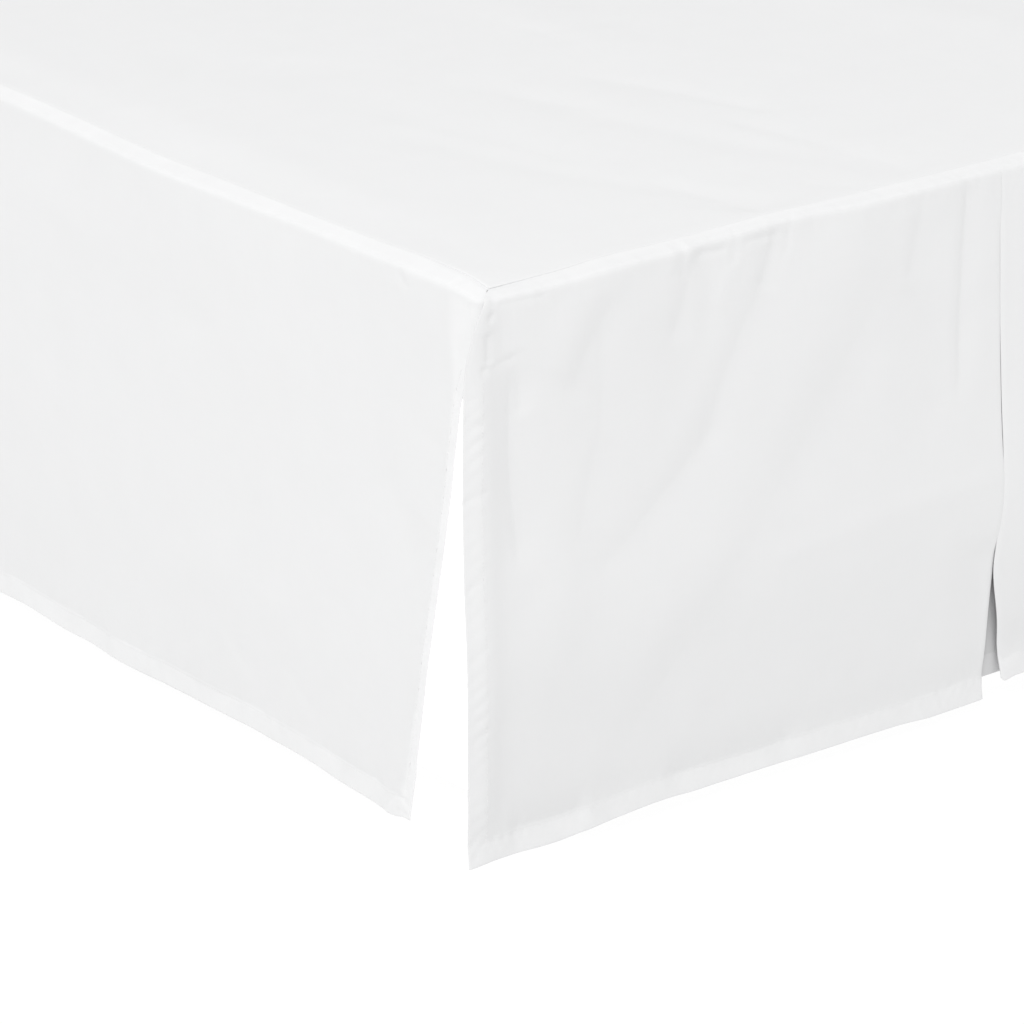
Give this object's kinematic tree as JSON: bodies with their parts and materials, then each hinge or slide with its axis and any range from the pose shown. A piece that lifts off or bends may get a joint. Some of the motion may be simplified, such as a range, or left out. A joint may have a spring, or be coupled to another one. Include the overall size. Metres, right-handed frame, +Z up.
{
  "type": "bed skirt on a box bed base",
  "caption": "Plain white tailored bed skirt with split corners and centre pleats, its deck and hanging panels fitted over an upholstered box bed base on short legs.",
  "frame": {"origin": "on the floor under the middle of the bed", "axes": "+Z up, -Y towards the foot end that carries the foot pleat, +Y towards the open head end, X across the bed"},
  "size_m": [1.0642, 1.9261, 0.4645],
  "materials": {
    "skirt_cotton": "plain white cotton weave, matte with a faint sheen",
    "underlay_cotton": "the same white cotton in the shade of the pleat",
    "base_cover": "white woven upholstery cover, matte",
    "leg_wood": "satin brown wood"
  },
  "bodies": {
    "root": {"base": "base_cover", "leg_foot_left": "leg_wood", "leg_foot_right": "leg_wood", "leg_head_left": "leg_wood", "leg_head_right": "leg_wood", "deck": "skirt_cotton", "panel_foot_left": "skirt_cotton", "panel_foot_right": "skirt_cotton", "panel_left_foot": "skirt_cotton", "panel_left_head": "skirt_cotton", "panel_right_foot": "skirt_cotton", "panel_right_head": "skirt_cotton", "pleat_foot": "underlay_cotton", "pleat_left": "underlay_cotton", "pleat_right": "underlay_cotton"}
  },
  "joints": []
}
